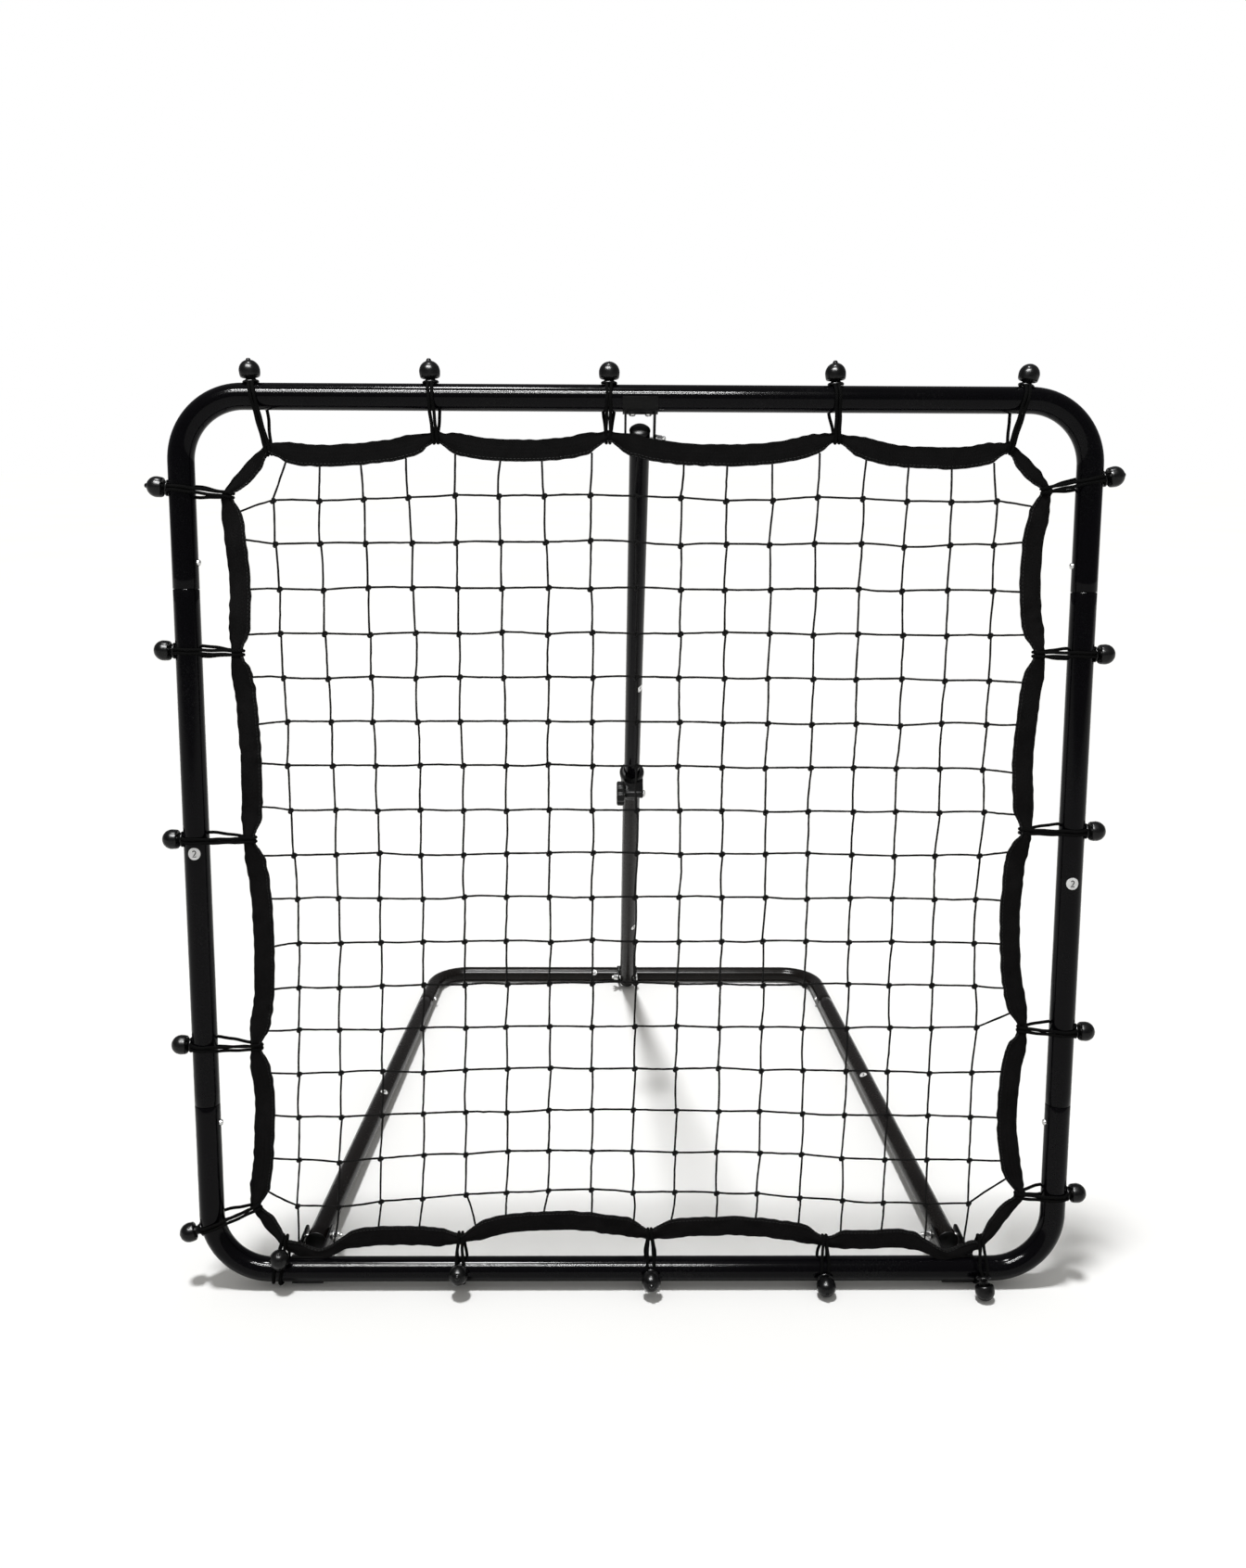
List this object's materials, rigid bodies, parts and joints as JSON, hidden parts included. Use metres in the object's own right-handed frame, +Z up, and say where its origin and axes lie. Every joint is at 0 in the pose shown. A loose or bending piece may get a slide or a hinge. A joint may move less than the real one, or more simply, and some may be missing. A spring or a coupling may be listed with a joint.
{
  "type": "pitch back rebounder",
  "caption": "Square net rebounder: a net sprung on ball bungees in a leaning tube frame, hinged to a floor base and propped by a telescopic rear leg.",
  "frame": {"origin": "middle of the bounding box, on the floor the rebounder stands on", "axes": "+Z up, +X to the player's right, -Y towards the player, +Y towards the rear prop"},
  "size_m": [1.0472, 0.955, 1.0327],
  "materials": {
    "black_gloss_paint": "glossy black powder coat",
    "base_paint": "satin dark grey-brown powder coat",
    "bracket_paint": "satin black",
    "zinc": "zinc plated",
    "black_plastic": "moulded black",
    "webbing": "woven, matte",
    "net_twine": "knotted twine, matte",
    "ball_bungee": "braided elastic and a semi-matte moulded ball"
  },
  "bodies": {
    "base": {"base_rear_rail": "base_paint", "base_arm_left": "base_paint", "base_arm_right": "base_paint", "base_arm_end_cap_left": "black_plastic", "base_arm_end_cap_right": "black_plastic", "leg_foot_bracket": "bracket_paint", "leg_foot_bolt": "zinc"},
    "frame": {"frame_top_rail": "black_gloss_paint", "frame_bottom_rail": "black_gloss_paint", "frame_side_tube_left": "black_gloss_paint", "frame_side_tube_right": "black_gloss_paint", "base_hinge_bracket_left": "bracket_paint", "base_hinge_bracket_right": "bracket_paint", "base_hinge_bolt_left": "zinc", "base_hinge_bolt_right": "zinc", "base_hinge_screw_left": "zinc", "base_hinge_screw_right": "zinc", "leg_top_bracket": "bracket_paint", "leg_top_screw_left": "zinc", "leg_top_screw_right": "zinc", "leg_top_bolt": "zinc", "net": "net_twine", "net_border_webbing": "webbing", "ball_bungee_01": "ball_bungee", "ball_bungee_02": "ball_bungee", "ball_bungee_03": "ball_bungee", "ball_bungee_04": "ball_bungee", "ball_bungee_05": "ball_bungee", "ball_bungee_06": "ball_bungee", "ball_bungee_07": "ball_bungee", "ball_bungee_08": "ball_bungee", "ball_bungee_09": "ball_bungee", "ball_bungee_10": "ball_bungee", "ball_bungee_11": "ball_bungee", "ball_bungee_12": "ball_bungee", "ball_bungee_13": "ball_bungee", "ball_bungee_14": "ball_bungee", "ball_bungee_15": "ball_bungee", "ball_bungee_16": "ball_bungee", "ball_bungee_17": "ball_bungee", "ball_bungee_18": "ball_bungee", "ball_bungee_19": "ball_bungee", "ball_bungee_20": "ball_bungee"},
    "leg_upper": {"leg_upper_tube": "black_gloss_paint", "leg_top_cap": "black_plastic"},
    "leg_lower": {"leg_lower_tube": "base_paint", "leg_bottom_cap": "black_plastic", "leg_clamp_body": "black_plastic", "leg_clamp_bolt": "zinc"},
    "leg_clamp_knob": {"leg_clamp_knob": "black_plastic"},
    "base_hinge_wing_nut_left": {"base_hinge_wing_nut_left": "zinc"},
    "base_hinge_wing_nut_right": {"base_hinge_wing_nut_right": "zinc"},
    "leg_top_wing_nut": {"leg_top_wing_nut": "zinc"},
    "leg_foot_wing_nut": {"leg_foot_wing_nut": "zinc"},
    "frame_snap_button_upper_left": {"frame_snap_button_upper_left": "zinc"},
    "frame_snap_button_upper_right": {"frame_snap_button_upper_right": "zinc"},
    "frame_snap_button_lower_left": {"frame_snap_button_lower_left": "zinc"},
    "frame_snap_button_lower_right": {"frame_snap_button_lower_right": "zinc"},
    "base_snap_button_left": {"base_snap_button_left": "zinc"},
    "base_snap_button_right": {"base_snap_button_right": "zinc"}
  },
  "joints": [
    {"name": "frame_tilt", "type": "hinge", "parent": "base", "child": "frame", "pos_m": [0, -0.37227, 0.02262], "axis": [-1, 0, 0], "range_deg": [0, 25]},
    {"name": "leg_top_pivot", "type": "hinge", "parent": "frame", "child": "leg_upper", "pos_m": [0.003, -0.3065, 0.95315], "axis": [1, 0, 0], "range_deg": [0, 10.5]},
    {"name": "leg_telescope", "type": "slide", "parent": "leg_upper", "child": "leg_lower", "axis": [0, -0.619, 0.7854], "range_m": [0, 0.3]},
    {"name": "leg_clamp_knob_turn", "type": "hinge", "parent": "leg_lower", "child": "leg_clamp_knob", "pos_m": [0.003, 0.03855, 0.46689], "axis": [1, 0, 0], "continuous": true},
    {"name": "hinge_wing_nut_left_turn", "type": "hinge", "parent": "frame", "child": "base_hinge_wing_nut_left", "pos_m": [-0.378, -0.37227, 0.02262], "axis": [1, 0, 0], "continuous": true},
    {"name": "hinge_wing_nut_right_turn", "type": "hinge", "parent": "frame", "child": "base_hinge_wing_nut_right", "pos_m": [0.378, -0.37227, 0.02262], "axis": [1, 0, 0], "continuous": true},
    {"name": "leg_top_wing_nut_turn", "type": "hinge", "parent": "frame", "child": "leg_top_wing_nut", "pos_m": [0.003, -0.3065, 0.95315], "axis": [1, 0, 0], "continuous": true},
    {"name": "leg_foot_wing_nut_turn", "type": "hinge", "parent": "base", "child": "leg_foot_wing_nut", "pos_m": [0.003, 0.427, 0.0225], "axis": [1, 0, 0], "continuous": true},
    {"name": "frame_snap_button_upper_left_press", "type": "slide", "parent": "frame", "child": "frame_snap_button_upper_left", "axis": [-1, 0, 0], "range_m": [0, 0.004], "stiffness_N_per_m": 400},
    {"name": "frame_snap_button_upper_right_press", "type": "slide", "parent": "frame", "child": "frame_snap_button_upper_right", "axis": [1, 0, 0], "range_m": [0, 0.004], "stiffness_N_per_m": 400},
    {"name": "frame_snap_button_lower_left_press", "type": "slide", "parent": "frame", "child": "frame_snap_button_lower_left", "axis": [-1, 0, 0], "range_m": [0, 0.004], "stiffness_N_per_m": 400},
    {"name": "frame_snap_button_lower_right_press", "type": "slide", "parent": "frame", "child": "frame_snap_button_lower_right", "axis": [1, 0, 0], "range_m": [0, 0.004], "stiffness_N_per_m": 400},
    {"name": "base_snap_button_left_press", "type": "slide", "parent": "base", "child": "base_snap_button_left", "axis": [-0.999, 0.0441, -0.0005], "range_m": [0, 0.004], "stiffness_N_per_m": 400},
    {"name": "base_snap_button_right_press", "type": "slide", "parent": "base", "child": "base_snap_button_right", "axis": [0.999, 0.0441, -0.0005], "range_m": [0, 0.004], "stiffness_N_per_m": 400}
  ],
  "couplings": [
    {"joint": "leg_top_pivot", "follows": "frame_tilt", "ratio": 0.3972},
    {"joint": "leg_telescope", "follows": "frame_tilt", "m_per_rad": 0.6757}
  ]
}
